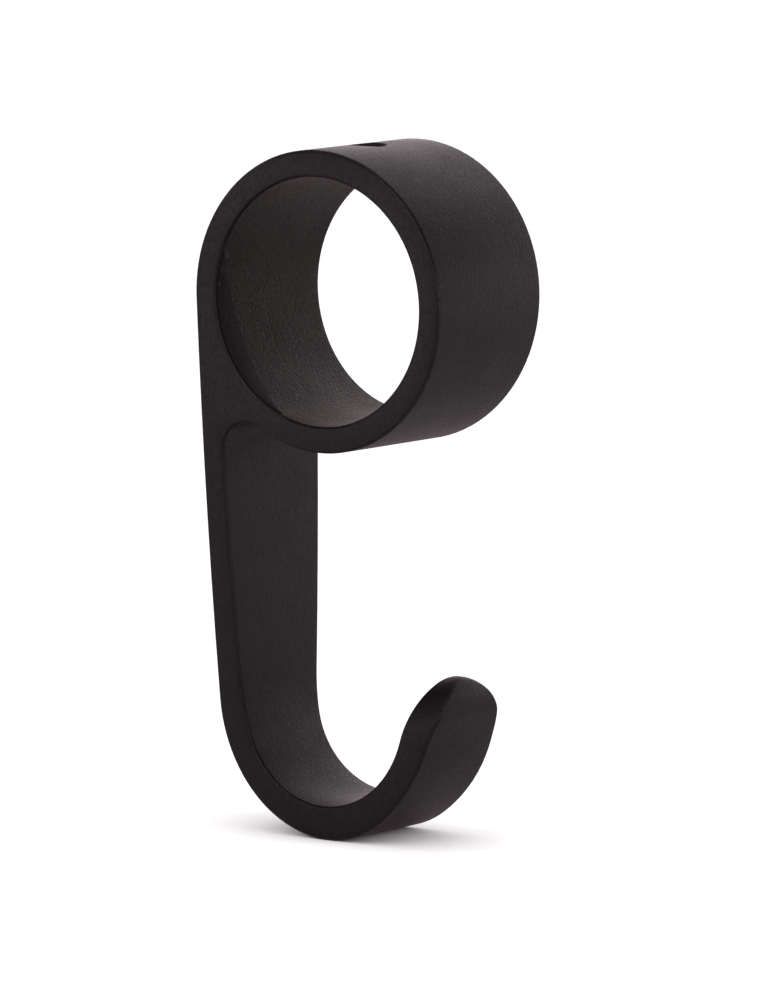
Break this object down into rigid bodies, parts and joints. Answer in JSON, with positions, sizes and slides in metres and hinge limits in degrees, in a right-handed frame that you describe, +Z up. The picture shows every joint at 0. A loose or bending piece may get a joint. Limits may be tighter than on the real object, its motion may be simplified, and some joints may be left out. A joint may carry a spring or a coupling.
{
  "type": "coat hook",
  "caption": "Wooden coat hook for a round rail, cut from one piece: a wide ring that slides over the rail, a thin spine and a J with a soft tip that holds a coat.",
  "frame": {"origin": "centre of the ring's bore, at mid depth", "axes": "+Z up, +Y along the rail from the face seen in the picture to the far one, +X from the spine to the tip"},
  "size_m": [0.051, 0.0298, 0.1172],
  "materials": {
    "stained_wood": "matte black stain"
  },
  "bodies": {
    "root": {"hook": "stained_wood"}
  },
  "joints": []
}
